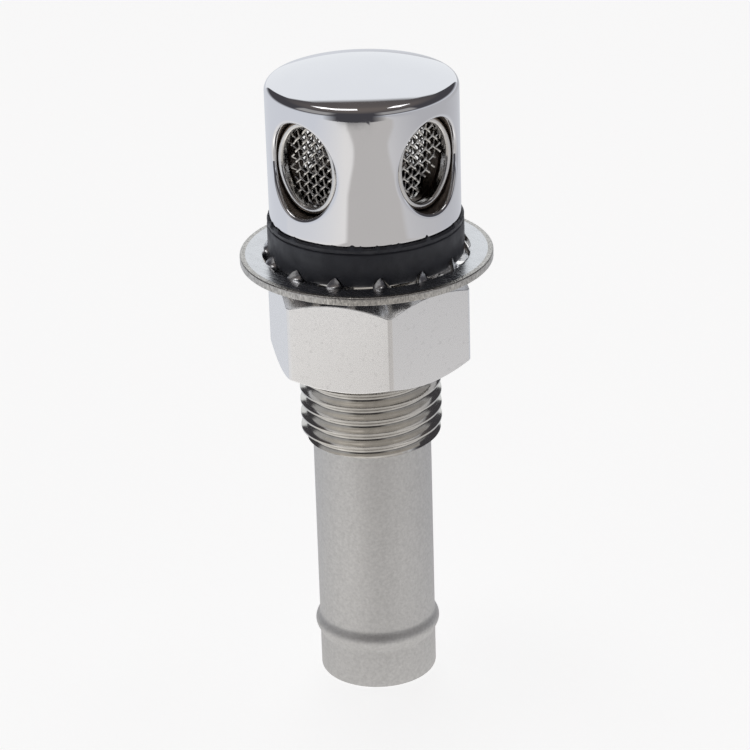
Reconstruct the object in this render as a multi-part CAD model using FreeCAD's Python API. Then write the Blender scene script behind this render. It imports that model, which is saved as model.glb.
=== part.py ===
import FreeCAD, Part
import math
import os

# Fuel tank vent for a hull side or deck: a windowed head, a threaded shank and a hose tube, with the
# gasket, the toothed washer and the nut that clamp it in its hole.
# Units are millimetres. +Z is up the axis, and the origin is the middle of the tube's open end.

# Stack along the axis, from the tube's open end to the head's seat
tube_exposed = 39.3
shank_length = 34.8

# Hose tube with its rolled bead; its bore runs on up the shank
tube_diameter = 17.6
tube_wall = 1.3
tube_spigot_step = 0.6
tube_socket_gap = 0.03
tube_socket_end_gap = 0.3
bead_rise = 0.65
bead_height = 2.8
bead_from_end = 7.9
tube_end_chamfer = 0.35

# Threaded shank: the thread is carried as its major diameter, with its depth cut at both ends
thread_diameter = 21.0
thread_pitch = 2.117
thread_depth_per_pitch = 0.6
shank_neck_length = 1.6
shank_socket_depth = 9.0
shank_spigot_height = 3.4
shank_spigot_wall = 1.47
shank_spigot_gap = 0.03

# Head: a domed cup over a blind cavity
head_diameter = 27.8
head_height = 22.7
head_dome_radius = 40.0
head_edge_radius = 1.4
head_seat_chamfer = 0.35
head_roof = 3.1
cavity_top_chamfer = 1.4

# Windows: oval pockets in the head's side, a little taller than wide, with a port through each floor
window_count = 4
window_foot = 3.25
window_crown = 5.35
pocket_half_width = 5.9
pocket_end_share = 0.88
pocket_floor_wall = 1.0
port_shelf = 1.0
window_rim_chamfer = 0.6

# Screen ring, pressed into each pocket to hold the wire screen down
ring_wall = 0.85
ring_recess = 0.25
ring_lip_chamfer = 0.25
ring_press_gap = 0.02

# Wire screen: two crossed layers of wires
wire_thickness = 0.28
wire_pitch = 1.1
wire_angle = 45.0
screen_edge_gap = 0.15

# Gasket
gasket_proud = 0.4
gasket_thickness = 5.8
gasket_bore_gap = 0.25
gasket_lip_height = 0.7
gasket_groove_depth = 0.18
gasket_bottom_chamfer = 0.4
tooth_bite_gap = 0.15

# Lock washer with twisted internal teeth
washer_rim_width = 3.25
washer_root_gap = 0.9
washer_thickness = 1.15
washer_top_above_gasket_bottom = 0.15
washer_edge_chamfer = 0.2
tooth_count = 14
tooth_thread_gap = 0.4
tooth_root_width = 3.7
tooth_tip_width = 2.6
tooth_twist = 52.0
tooth_twist_length = 0.7
tooth_twist_steps = 3
tooth_root_bite = 0.5
tooth_first_angle = -37.0

# Hex nut
nut_wall = 3.0
nut_height = 14.35
nut_thread_gap = 0.05
nut_seat_gap = 0.1
nut_top_inset = 2.0
nut_bottom_inset = 0.7
nut_chamfer_angle = 30.0
nut_mouth_chamfer = 0.9
nut_corner_angle = -35.6

# How far a cutting shape runs past what it cuts
overrun = 2.0

# Radii that follow, from the passage outwards
tube_radius = tube_diameter / 2
passage_radius = tube_radius - tube_wall
tube_spigot_radius = tube_radius - tube_spigot_step
socket_radius = tube_spigot_radius + tube_socket_gap
thread_radius = thread_diameter / 2
thread_depth = thread_pitch * thread_depth_per_pitch
thread_end_chamfer = min(thread_depth, 0.6 * (thread_radius - socket_radius))
spigot_radius = passage_radius + shank_spigot_wall
cavity_radius = spigot_radius + shank_spigot_gap
head_radius = head_diameter / 2
gasket_radius = head_radius + gasket_proud
tooth_root_radius = gasket_radius + washer_root_gap
tooth_tip_radius = thread_radius + tooth_thread_gap
washer_radius = tooth_root_radius + washer_rim_width
nut_half_flats = thread_radius + nut_wall

# Window sizes that follow: distances are from the axis, out along +X
pocket_half_height = (head_height - window_foot - window_crown) / 2
pocket_floor = cavity_radius + pocket_floor_wall
screen_front = pocket_floor + 2 * wire_thickness
ring_front = math.sqrt(head_radius ** 2 - pocket_half_width ** 2) - ring_recess
ring_lip = min(ring_lip_chamfer, (ring_front - screen_front) / 2)

# Levels that follow, from the seat downwards
up = FreeCAD.Vector(0, 0, 1)
seat_z = tube_exposed + shank_length
window_z = seat_z + window_foot + pocket_half_height
gasket_bottom_z = seat_z - gasket_thickness
washer_mid_z = gasket_bottom_z + washer_top_above_gasket_bottom - washer_thickness / 2
twist = math.radians(tooth_twist)
tooth_rise = tooth_root_width / 2 * math.sin(twist) + washer_thickness / 2 * math.cos(twist)
nut_top_z = washer_mid_z - tooth_rise - nut_seat_gap


def point(radius, height, angle=0.0):
    """Point at a distance from the axis, at a height and an angle in degrees."""
    turn = math.radians(angle)
    return FreeCAD.Vector(radius * math.cos(turn), radius * math.sin(turn), height)


def line(start, end):
    """Straight edge between two points."""
    return Part.LineSegment(start, end).toShape()


def arc(start, middle, end):
    """Round edge through three points."""
    return Part.Arc(start, middle, end).toShape()


def revolve(edges):
    """Solid of revolution about the axis from a closed outline in the XZ plane."""
    face = Part.Face(Part.Wire(edges))
    return face.revolve(FreeCAD.Vector(0, 0, 0), up, 360)


def turned(corners):
    """Solid of revolution from straight runs through (radius, height) corners."""
    points = [point(radius, height) for radius, height in corners]
    return revolve([line(a, b) for a, b in zip(points, points[1:] + points[:1])])


def around(shape, count, first_angle=0.0):
    """Copies of a shape, evenly spaced around the axis."""
    copies = []
    for number in range(count):
        copy = shape.copy()
        copy.rotate(FreeCAD.Vector(0, 0, 0), up, first_angle + number * 360.0 / count)
        copies.append(copy)
    return copies


def oval_prism(inset, start, end):
    """Oval bar along +X at the windows' height, its outline an even inset inside a pocket's.

    Four tangent arcs make the oval: small ones at top and bottom, large ones at the sides.
    """
    side = pocket_half_width - inset
    top = pocket_half_height - inset
    small = pocket_half_width * pocket_end_share - inset
    rise = top - small
    large = (rise ** 2 + side ** 2 - small ** 2) / (2 * (side - small))
    turn = math.atan2(rise, large - side)
    join_y = side - large + large * math.cos(turn)
    join_z = large * math.sin(turn)

    def spot(across, height):
        return FreeCAD.Vector(start, across, window_z + height)

    outline = Part.Wire([
        arc(spot(join_y, -join_z), spot(side, 0), spot(join_y, join_z)),
        arc(spot(join_y, join_z), spot(0, top), spot(-join_y, join_z)),
        arc(spot(-join_y, join_z), spot(-side, 0), spot(-join_y, -join_z)),
        arc(spot(-join_y, -join_z), spot(0, -top), spot(join_y, -join_z)),
    ])
    return Part.Face(outline).extrude(FreeCAD.Vector(end - start, 0, 0))


def head_blank():
    """Domed cup: a chamfered foot, a straight wall, a rounded shoulder and a shallow dome."""
    top_z = seat_z + head_height
    dome_centre_z = top_z - head_dome_radius
    edge_centre_radius = head_radius - head_edge_radius
    reach = head_dome_radius - head_edge_radius
    edge_centre_z = dome_centre_z + math.sqrt(reach ** 2 - edge_centre_radius ** 2)
    dome_slope = math.asin(edge_centre_radius / reach)

    def shoulder(turn):
        return point(edge_centre_radius + head_edge_radius * math.cos(turn),
                     edge_centre_z + head_edge_radius * math.sin(turn))

    wall_top = shoulder(0)
    dome_edge = shoulder(math.pi / 2 - dome_slope)
    corners = [
        point(dome_edge.x, top_z + overrun),
        point(0, top_z + overrun),
        point(0, seat_z),
        point(head_radius - head_seat_chamfer, seat_z),
        point(head_radius, seat_z + head_seat_chamfer),
        wall_top,
    ]
    outline = [line(a, b) for a, b in zip(corners, corners[1:])]
    outline.append(arc(wall_top, shoulder((math.pi / 2 - dome_slope) / 2), dome_edge))
    outline.append(line(dome_edge, corners[0]))
    dome = Part.makeSphere(head_dome_radius, point(0, dome_centre_z), FreeCAD.Vector(1, 0, 0))
    cavity_z = top_z - head_roof
    cavity = turned([
        (0, seat_z - overrun),
        (cavity_radius, seat_z - overrun),
        (cavity_radius, cavity_z - cavity_top_chamfer),
        (cavity_radius - cavity_top_chamfer, cavity_z),
        (0, cavity_z),
    ])
    return revolve(outline).common(dome).cut(cavity)


def vent_head():
    """Head with its window pockets, the ports behind them and eased window rims."""
    outside = head_radius + overrun
    pocket = oval_prism(0.0, pocket_floor, outside)
    port = oval_prism(port_shelf, 0.0, outside)
    head = head_blank().cut(around(pocket.fuse(port), window_count))
    rims = [edge for edge in head.Edges if is_window_rim(edge)]
    return head.makeChamfer(window_rim_chamfer, rims)


def is_window_rim(edge):
    """True for an edge where a pocket breaks out through the head's round side."""
    box = edge.BoundBox
    length = edge.LastParameter - edge.FirstParameter
    spots = [edge.valueAt(edge.FirstParameter + share * length) for share in (0.1, 0.4, 0.7)]
    on_side = all(abs(math.hypot(spot.x, spot.y) - head_radius) < 0.01 for spot in spots)
    level = box.ZMax - box.ZMin < 0.01
    upright = max(box.XMax - box.XMin, box.YMax - box.YMin) < 0.01
    near = abs(box.Center.z - window_z) < pocket_half_height
    return on_side and near and not level and not upright


def screen_ring():
    """Oval ring with an eased front lip, pressed onto the wire screen in a +X pocket."""
    ring = oval_prism(ring_press_gap, screen_front, ring_front)
    hole = oval_prism(ring_press_gap + ring_wall, screen_front - overrun, ring_front + overrun)
    ring = ring.cut(hole)
    lips = [edge for edge in ring.Edges if edge.BoundBox.XMin > ring_front - 0.01]
    return ring.makeChamfer(ring_lip, lips)


def wire_layer(turn, depth):
    """Parallel wires across a +X pocket, all at one depth and slanted by an angle."""
    reach = 2 * max(pocket_half_width, pocket_half_height)
    count = int(reach / wire_pitch) // 2
    centre = FreeCAD.Vector(depth, 0, window_z)
    wires = []
    for number in range(-count, count + 1):
        corner = FreeCAD.Vector(depth, number * wire_pitch - wire_thickness / 2, window_z - reach / 2)
        wire = Part.makeBox(wire_thickness, wire_thickness, reach, corner)
        wire.rotate(centre, FreeCAD.Vector(1, 0, 0), turn)
        wires.append(wire)
    return wires


def mesh_screen():
    """Wires of a screen, trimmed to the pocket's oval: one layer on its floor, the other across it."""
    trim = oval_prism(screen_edge_gap, pocket_floor - overrun, screen_front + overrun)
    wires = wire_layer(wire_angle, pocket_floor)
    wires += wire_layer(-wire_angle, pocket_floor + wire_thickness)
    trimmed = []
    for wire in wires:
        trimmed += wire.common(trim).Solids
    return Part.makeCompound(trimmed)


def threaded_shank():
    """Shank: spigot into the head, neck, thread body and the socket for the hose tube."""
    end_z = seat_z - shank_length
    neck = thread_radius - thread_depth
    return turned([
        (passage_radius, seat_z + shank_spigot_height),
        (spigot_radius, seat_z + shank_spigot_height),
        (spigot_radius, seat_z),
        (neck, seat_z),
        (neck, seat_z - shank_neck_length),
        (thread_radius, seat_z - shank_neck_length - thread_depth),
        (thread_radius, end_z + thread_end_chamfer),
        (thread_radius - thread_end_chamfer, end_z),
        (socket_radius, end_z),
        (socket_radius, end_z + shank_socket_depth),
        (passage_radius, end_z + shank_socket_depth),
    ])


def hose_tube():
    """Tube with a rolled bead near its open end and a turned spigot at its top."""
    top_z = tube_exposed + shank_socket_depth - tube_socket_end_gap
    corners = [
        point(tube_radius, bead_from_end + bead_height / 2),
        point(tube_radius, tube_exposed),
        point(tube_spigot_radius, tube_exposed),
        point(tube_spigot_radius, top_z),
        point(passage_radius, top_z),
        point(passage_radius, 0),
        point(tube_radius - tube_end_chamfer, 0),
        point(tube_radius, tube_end_chamfer),
        point(tube_radius, bead_from_end - bead_height / 2),
    ]
    outline = [line(a, b) for a, b in zip(corners, corners[1:])]
    outline.append(arc(corners[-1], point(tube_radius + bead_rise, bead_from_end), corners[0]))
    return revolve(outline)


def tooth_section(radius, width, turn):
    """Corners of a tooth's rectangular section at a distance from the axis, turned about its length."""
    corners = []
    for side, face in ((-1, -1), (1, -1), (1, 1), (-1, 1)):
        across = side * width / 2
        rise = face * washer_thickness / 2
        corners.append(FreeCAD.Vector(radius,
                                      across * math.cos(turn) + rise * math.sin(turn),
                                      washer_mid_z + rise * math.cos(turn) - across * math.sin(turn)))
    return corners


def flat(*corners):
    """Flat face through its corners."""
    return Part.Face(Part.makePolygon(list(corners) + [corners[0]]))


def facet_loft(sections):
    """Solid through four-cornered sections, each twisted side folded along one diagonal."""
    faces = [flat(*sections[0]), flat(*sections[-1])]
    for near, far in zip(sections, sections[1:]):
        for number in range(4):
            after = (number + 1) % 4
            faces.append(flat(near[number], near[after], far[after]))
            faces.append(flat(near[number], far[after], far[number]))
    return Part.makeSolid(Part.makeShell(faces)).removeSplitter()


def tooth():
    """One twisted tooth along +X: rooted in the rim, wrung to its set, then tapering to its tip."""
    sections = [tooth_section(tooth_root_radius + tooth_root_bite, tooth_root_width, 0)]
    for step in range(tooth_twist_steps + 1):
        share = step / tooth_twist_steps
        radius = tooth_root_radius - share * tooth_twist_length
        sections.append(tooth_section(radius, tooth_root_width, share * twist))
    sections.append(tooth_section(tooth_tip_radius, tooth_tip_width, twist))
    return facet_loft(sections)


def lock_washer():
    """Flat rim with twisted teeth pointing inwards."""
    low = washer_mid_z - washer_thickness / 2
    high = washer_mid_z + washer_thickness / 2
    eased = washer_radius - washer_edge_chamfer
    rim = turned([
        (tooth_root_radius, low),
        (eased, low),
        (washer_radius, low + washer_edge_chamfer),
        (washer_radius, high - washer_edge_chamfer),
        (eased, high),
        (tooth_root_radius, high),
    ])
    return rim.fuse(around(tooth(), tooth_count, tooth_first_angle))


def tooth_bite():
    """Wedge that one tooth presses into the gasket's underside, open below it."""
    half = tooth_root_width / 2
    lean = washer_thickness / 2
    reach = half * math.cos(twist) + lean * math.sin(twist) + tooth_bite_gap
    crest_z = washer_mid_z + half * math.sin(twist) + lean * math.cos(twist) + tooth_bite_gap
    crest_y = -half * math.cos(twist) + lean * math.sin(twist) + tooth_bite_gap
    low_z = washer_mid_z - half * math.sin(twist) + lean * math.cos(twist) + 2 * tooth_bite_gap
    floor_z = washer_mid_z - tooth_root_width
    inner = thread_radius - overrun
    outline = [(-reach, floor_z), (-reach, crest_z), (crest_y, crest_z), (reach, low_z), (reach, floor_z)]
    face = flat(*[FreeCAD.Vector(inner, across, height) for across, height in outline])
    return face.extrude(FreeCAD.Vector(gasket_radius + overrun - inner, 0, 0))


def gasket():
    """Rubber ring with a thin moulded lip at the top, bitten from below by the washer's teeth."""
    inner = thread_radius + gasket_bore_gap
    lip_z = seat_z - gasket_lip_height
    groove = gasket_radius - gasket_groove_depth
    ring = turned([
        (inner, seat_z),
        (groove, seat_z),
        (gasket_radius, seat_z - gasket_groove_depth),
        (gasket_radius, lip_z),
        (groove, lip_z - gasket_groove_depth),
        (gasket_radius, lip_z - 2 * gasket_groove_depth),
        (gasket_radius, gasket_bottom_z + gasket_bottom_chamfer),
        (gasket_radius - gasket_bottom_chamfer, gasket_bottom_z),
        (inner, gasket_bottom_z),
    ])
    return ring.cut(around(tooth_bite(), tooth_count, tooth_first_angle))


def nut_cone(inset, circle_z, direction):
    """Lens that trims a hexagon's corners with a shallow cone from a circle on one end."""
    start = nut_half_flats - inset
    far = 2 * nut_half_flats
    drop = (far - start) * math.tan(math.radians(nut_chamfer_angle))
    deep = drop + 2 * nut_height
    return turned([
        (0, circle_z),
        (start, circle_z),
        (far, circle_z - direction * drop),
        (far, circle_z - direction * deep),
        (0, circle_z - direction * deep),
    ])


def hex_nut():
    """Tall hexagon nut, its corners coned at both ends and its mouth chamfered."""
    corner_radius = nut_half_flats / math.cos(math.pi / 6)
    bottom_z = nut_top_z - nut_height
    corners = [point(corner_radius, bottom_z, nut_corner_angle + 60 * number) for number in range(6)]
    hexagon = flat(*corners).extrude(up * nut_height)
    hexagon = hexagon.common(nut_cone(nut_top_inset, nut_top_z, 1))
    hexagon = hexagon.common(nut_cone(nut_bottom_inset, bottom_z, -1))
    bore = thread_radius + nut_thread_gap
    mouth = bore + nut_mouth_chamfer
    hole = turned([
        (0, nut_top_z + overrun),
        (bore, nut_top_z + overrun),
        (bore, bottom_z + nut_mouth_chamfer),
        (mouth, bottom_z),
        (mouth, bottom_z - overrun),
        (0, bottom_z - overrun),
    ])
    return hexagon.cut(hole)


def write(name, shape):
    """One STEP file per piece."""
    shape.exportStep("parts/" + name + ".step")


def build():
    os.makedirs("parts", exist_ok=True)
    write("vent_head", vent_head())
    write("threaded_shank", threaded_shank())
    write("hose_tube", hose_tube())
    write("gasket", gasket())
    write("lock_washer", lock_washer())
    write("hex_nut", hex_nut())
    for number, ring in enumerate(around(screen_ring(), window_count), 1):
        write("screen_ring_" + str(number), ring)
    for number, screen in enumerate(around(mesh_screen(), window_count), 1):
        write("mesh_screen_" + str(number), screen)


build()
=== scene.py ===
import math
import random

import bmesh
import bpy
from mathutils import Matrix, Vector


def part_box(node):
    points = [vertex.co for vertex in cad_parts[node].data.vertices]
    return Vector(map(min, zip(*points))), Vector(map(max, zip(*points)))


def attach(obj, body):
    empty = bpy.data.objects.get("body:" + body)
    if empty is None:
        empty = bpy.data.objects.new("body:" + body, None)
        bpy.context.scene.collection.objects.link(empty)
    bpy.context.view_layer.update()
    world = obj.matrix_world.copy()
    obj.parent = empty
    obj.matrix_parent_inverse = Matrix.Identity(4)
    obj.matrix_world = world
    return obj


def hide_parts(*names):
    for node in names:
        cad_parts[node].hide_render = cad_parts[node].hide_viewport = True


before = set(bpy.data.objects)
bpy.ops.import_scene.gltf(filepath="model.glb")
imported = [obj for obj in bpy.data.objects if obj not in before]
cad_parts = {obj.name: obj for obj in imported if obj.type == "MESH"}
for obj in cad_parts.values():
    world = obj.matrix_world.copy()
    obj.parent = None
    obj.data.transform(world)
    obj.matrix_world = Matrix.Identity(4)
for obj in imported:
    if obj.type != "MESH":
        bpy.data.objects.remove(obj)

bl_info = {
    "name": "Fuel Tank Vent",
    "version": (1, 0, 0),
    "blender": (4, 5, 0),
    "location": "3D View > Sidebar > Vent",
    "description": "Finished pieces of a through-hull fuel tank vent, built round its engineering model",
    "category": "Add Mesh",
}

MM = 0.001
WELD = 0.0005 * MM
NEAR = 0.01 * MM
SHARP = math.radians(33)
MIX_LOW = 6
MIX_HIGH = 7
MIX_COLOUR = 2
WHITE = (1.0, 1.0, 1.0, 1.0)
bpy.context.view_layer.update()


def reach_of(node):
    """Greatest distance of a node from the axis, along X."""
    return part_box(node)[1][0]


def low_of(node):
    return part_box(node)[0][2]


def high_of(node):
    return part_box(node)[1][2]


def srgb(code):
    """Linear RGBA of an sRGB hex colour such as #C0C0C0."""
    parts = [int(code[at:at + 2], 16) / 255 for at in (1, 3, 5)]
    linear = [part / 12.92 if part <= 0.04045 else ((part + 0.055) / 1.055) ** 2.4 for part in parts]
    return (*linear, 1.0)


def length(label, millimetres):
    """A length property whose default is written in millimetres."""
    return bpy.props.FloatProperty(name=label, default=millimetres * MM, unit="LENGTH", precision=5)


def colour(label, code):
    """A colour property whose default is an sRGB hex value."""
    return bpy.props.FloatVectorProperty(name=label, default=srgb(code), subtype="COLOR", size=4,
                                         min=0.0, max=1.0)


def turn(label, degrees):
    """An angle property whose default is written in degrees."""
    return bpy.props.FloatProperty(name=label, default=math.radians(degrees), subtype="ANGLE",
                                   unit="ROTATION")


class VentSizes(bpy.types.PropertyGroup):
    """Sizes of the finished pieces that the frame's boxes don't give."""

    dome_radius: length("Radius of the head's shallow dome", 40.0)
    shoulder_radius: length("Rounding between the dome and the head's wall", 1.4)
    foot_round: length("Rounding of the head's lower edge", 0.35)
    cavity_radius: length("Radius of the chamber inside the head", 9.0)
    head_roof: length("Thickness of the head over its chamber", 3.1)
    cavity_chamfer: length("Chamfer round the top of the chamber", 1.4)
    window_foot: length("Wall left under a window pocket", 3.25)
    pocket_half_width: length("Half the width of a window pocket", 5.9)
    pocket_half_height: length("Half the height of a window pocket", 7.05)
    pocket_floor: length("Distance of a pocket's floor from the axis", 10.0)
    port_shelf: length("Width of the shelf that the screen lies on", 1.0)
    rim_roll: length("Radius of the polished roll round a window", 0.5)
    ring_gap: length("Gap between a screen ring and its pocket", 0.2)
    ring_wall: length("Wall of a screen ring", 0.98)
    ring_lip: length("Rounding of a screen ring's front lip", 0.42)
    ring_depth: length("How much deeper a ring's lip lies than its solid's", 0.45)
    wire_diameter: length("Diameter of the screen wire", 0.36)
    wire_pitch: length("Spacing of the screen wires", 1.1)
    thread_pitch: length("Rise of the thread in one turn", 2.117)
    thread_depth: length("Depth of the thread", 1.27)
    thread_start: length("Depth of thread left at the shank's lower end", 0.5)
    neck_length: length("Plain neck between the thread and the head", 1.6)
    passage_radius: length("Radius of the bore through shank and tube", 7.5)
    socket_radius: length("Radius of the socket that takes the tube", 8.23)
    socket_depth: length("Depth of the socket that takes the tube", 9.0)
    spigot_radius: length("Radius of the shank's spigot in the head", 8.97)
    tube_radius: length("Outer radius of the hose tube", 8.8)
    tube_spigot_radius: length("Radius of the tube's spigot in the shank", 8.2)
    bead_height: length("Height of the rolled bead above the open end", 7.9)
    bead_half_length: length("Half the length of the rolled bead", 1.75)
    gasket_bore: length("Radius of the gasket's bore", 10.75)
    gasket_lip: length("Height of the thin lip at the gasket's top", 0.7)
    washer_thickness: length("Thickness of the toothed washer", 1.15)
    washer_drop: length("How far the washer's top lies above the gasket's underside", 0.15)
    tooth_root: length("Radius at which the washer's teeth start", 15.2)
    tooth_tip: length("Radius at which the washer's teeth end", 10.9)
    tooth_width: length("Width of a tooth at its root", 3.7)
    tooth_tip_width: length("Width of a tooth at its tip", 2.6)
    nut_half_flats: length("Half the distance across the nut's flats", 13.5)
    nut_top_circle: length("Radius of the flat ring on the nut's top", 11.5)
    nut_bottom_circle: length("Radius of the flat ring on the nut's underside", 13.1)
    nut_corner_strip: length("Width of the flat ground on the nut's upright corners", 0.6)
    nut_reach: length("How far the nut's underside lies below its solid's", 0.4)
    nut_mouth: length("Chamfer at the mouth of the nut's bore", 0.9)
    tooth_twist: turn("Angle to which the washer's teeth are wrung", 52)
    tooth_start: turn("Direction of the washer's first tooth", -37)
    nut_start: turn("Direction of a nut corner", -35.6)
    tooth_count: bpy.props.IntProperty(name="Number of teeth on the washer", default=14, min=3)


class VentColours(bpy.types.PropertyGroup):
    """Colours of the finishes."""

    polished: colour("Mirror-polished head", "#E9E9EC")
    bored: colour("Inside of the head and its window pockets", "#8C8178")
    # The chamber's colour is painted shade: it is darkened to stand for the shade deep inside the head
    chamber: colour("Inside of the head, darkened as painted shade", "#38322C")
    ring: colour("Pressed screen rings", "#F0EEEB")
    wire: colour("Screen wire", "#F0EEEA")
    rubber: colour("Gasket", "#34363D")
    washer: colour("Face of the toothed washer", "#E4E5E7")
    sheared: colour("Sheared rim and tooth sides", "#D2CFCA")
    nut: colour("Satin hexagon nut", "#EEEDED")
    thread: colour("Turned thread", "#DEDBD6")
    tube: colour("Bead-blasted tube", "#E0DFDE")
    room: colour("Dark room in front, as the polished steel reflects it", "#47464A")
    room_wall: colour("Lit wall of the room in front, as the polished steel reflects it", "#A3A1A0")
    ceiling: colour("Ceiling, as the polished steel reflects it", "#6E6763")
    table: colour("White table, as the polished steel reflects it", "#EFEDEA")
    # Painted light: the white table turns cooler and greyer on its left and behind
    table_left: colour("Left side and back of the table, in painted cooler light", "#DADDE3")
    # Painted shade: the table's right side is darker, away from the window
    table_right_shade: colour("Right side of the table, in painted shade away from the window", "#BCBCBF")
    # Painted shade: the strip greys the white table where less light falls towards the camera
    table_shade_strip: colour("Painted shade: a greyer strip of the table towards the camera", "#C4C1BE")
    backdrop: colour("White backdrop behind, as the steel reflects it", "#F3F6F9")


def sizes():
    return bpy.context.scene.vent_sizes


def colours():
    return bpy.context.scene.vent_colours


def add(tree, kind, settings=None, inputs=None):
    """One shader node, with its settings, its socket values and the sockets linked into it."""
    node = tree.nodes.new("ShaderNode" + kind)
    for name, value in (settings or {}).items():
        setattr(node, name, value)
    for name, value in (inputs or {}).items():
        if isinstance(value, bpy.types.NodeSocket):
            tree.links.new(value, node.inputs[name])
        else:
            node.inputs[name].default_value = value
    return node


def fresh_tree(owner):
    """Empty node tree of a material or a world."""
    owner.use_nodes = True
    owner.node_tree.nodes.clear()
    return owner.node_tree


def start_material(name, shader_values):
    """A material with its shader, the object's coordinates and its output."""
    material = bpy.data.materials.new(name)
    tree = fresh_tree(material)
    place = add(tree, "TexCoord").outputs["Object"]
    shader = add(tree, "BsdfPrincipled", None, shader_values)
    add(tree, "OutputMaterial", None, {"Surface": shader.outputs["BSDF"]})
    return material, tree, shader, place


def start_steel(name):
    return start_material(name, {"Metallic": 1.0})


def shade_of(linear, factor):
    """The same colour, lighter or darker."""
    return (*[min(1.0, part * factor) for part in linear[:3]], 1.0)


def reckon(tree, operation, *values):
    """Result of a Math node on numbers or sockets."""
    return add(tree, "Math", {"operation": operation}, dict(enumerate(values))).outputs["Value"]


def dot(tree, first, second):
    return add(tree, "VectorMath", {"operation": "DOT_PRODUCT"}, {0: first, 1: second}).outputs["Value"]


def blend(tree, factor, low, high):
    """Colour between two colours, each of them a value or a socket."""
    mix = add(tree, "Mix", {"data_type": "RGBA"}, {"Factor": factor, MIX_LOW: low, MIX_HIGH: high})
    return mix.outputs[MIX_COLOUR]


def noise(tree, place, size, detail, roughness=0.5):
    """Noise whose largest patches have a real size."""
    inputs = {"Vector": place, "Scale": 1 / size, "Detail": detail, "Roughness": roughness}
    return add(tree, "TexNoise", None, inputs).outputs["Fac"]


def spread(tree, value, low, high, start=0.3, end=0.7):
    """Value carried from one range, by default the middle of a noise, to another and held at its ends."""
    mapped = add(tree, "MapRange", None, {"Value": value, "From Min": start, "From Max": end,
                                          "To Min": low, "To Max": high})
    return mapped.outputs["Result"]


def between(tree, value, low, high, soft):
    """One where a value lies between two limits and zero outside them, with soft edges."""
    risen = spread(tree, value, 0.0, 1.0, low - soft, low)
    fallen = spread(tree, value, 1.0, 0.0, high, high + soft)
    return reckon(tree, "MULTIPLY", risen, fallen)


def stretched(tree, place, scale):
    """Object coordinates stretched so that a pattern runs as lines."""
    return add(tree, "Mapping", None, {"Vector": place, "Scale": scale}).outputs["Vector"]


def around_axis(tree, place):
    """Coordinates of distance from the axis and height, so that a pattern runs round the axis."""
    parts = add(tree, "SeparateXYZ", None, {"Vector": place})
    flat = add(tree, "CombineXYZ", None, {"X": parts.outputs["X"], "Y": parts.outputs["Y"]})
    radius = add(tree, "VectorMath", {"operation": "LENGTH"}, {"Vector": flat.outputs["Vector"]})
    joined = add(tree, "CombineXYZ", None, {"X": radius.outputs["Value"], "Y": parts.outputs["Z"]})
    return joined.outputs["Vector"]


def tint_with(tree, shader, pattern, low, high):
    """Base colour that wanders between two shades with a pattern."""
    tree.links.new(blend(tree, pattern, low, high), shader.inputs["Base Color"])


def roughen(tree, shader, pattern, low, high):
    """Roughness that wanders between two values with a pattern."""
    tree.links.new(spread(tree, pattern, low, high), shader.inputs["Roughness"])


def bump(tree, shader, height, distance, strength=1.0):
    """Relief of a real depth on a shader."""
    relief = add(tree, "Bump", None, {"Height": height, "Distance": distance, "Strength": strength})
    tree.links.new(relief.outputs["Normal"], shader.inputs["Normal"])


def marked_steel(name, tint, patches, shades, marks, gloss, relief=0.0):
    """A steel whose colour wanders over patches, and whose gloss and relief follow finer marks.

    Patches and marks are a size and a detail, shades are shares of the tint, gloss is two roughnesses.
    """
    material, tree, shader, place = start_steel(name)
    low, high = shades
    tint_with(tree, shader, noise(tree, place, *patches), shade_of(tint, low), shade_of(tint, high))
    scored = noise(tree, place, *marks)
    roughen(tree, shader, scored, *gloss)
    if relief:
        bump(tree, shader, scored, relief)
    return material


def polished_steel():
    """316 stainless, mirror-polished: a near-white mirror with the faint swell that hand buffing leaves."""
    material, tree, shader, place = start_steel("mirror-polished 316 stainless steel")
    tint = colours().polished
    tint_with(tree, shader, noise(tree, place, 6 * MM, 2), shade_of(tint, 0.97), tint)
    roughen(tree, shader, noise(tree, place, 1.5 * MM, 6), 0.025, 0.05)
    bump(tree, shader, noise(tree, place, 7 * MM, 0), 0.012 * MM)
    return material


def bored_steel():
    """316 stainless as the boring tool left it: brownish, dull, with fine turning marks."""
    return marked_steel("bored 316 stainless steel", colours().bored, patches=(1.2 * MM, 4),
                        shades=(0.6, 1.2), marks=(0.3 * MM, 3), gloss=(0.28, 0.45), relief=0.02 * MM)


def shaded_chamber_steel():
    """316 stainless deep inside the head: left as bored, and darkened to paint the shade that fills the head.
    """
    return marked_steel("bored stainless steel darkened as painted shade", colours().chamber, patches=(2 * MM, 4),
                        shades=(0.6, 1.0), marks=(0.5 * MM, 3), gloss=(0.5, 0.7))


def ring_steel():
    """Stainless strip pressed to a ring: semi-bright, with light drawing marks along its wall."""
    return marked_steel("pressed stainless steel", colours().ring, patches=(0.9 * MM, 3),
                        shades=(0.72, 1.0), marks=(0.35 * MM, 4), gloss=(0.12, 0.27), relief=0.012 * MM)


def wire_steel():
    """Drawn stainless wire: bright on its crowns, duller where the die scored it."""
    return marked_steel("drawn stainless wire", colours().wire, patches=(0.5 * MM, 2),
                        shades=(0.7, 1.0), marks=(0.2 * MM, 2), gloss=(0.18, 0.34))


def gasket_rubber():
    """Moulded nitrile rubber: near-black, with a soft broken sheen where fingers and talc have been."""
    material, tree, shader, place = start_material("moulded nitrile rubber", {"IOR": 1.52})
    tint = colours().rubber
    tint_with(tree, shader, noise(tree, place, 1.6 * MM, 5), shade_of(tint, 0.7), shade_of(tint, 1.6))
    roughen(tree, shader, noise(tree, place, 2.4 * MM, 3), 0.34, 0.62)
    # Grain of 0.3 mm, drawn about twice as coarse as the mould's so that it shows
    bump(tree, shader, noise(tree, place, 0.3 * MM, 4), 0.03 * MM, strength=0.8)
    return material


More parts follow.
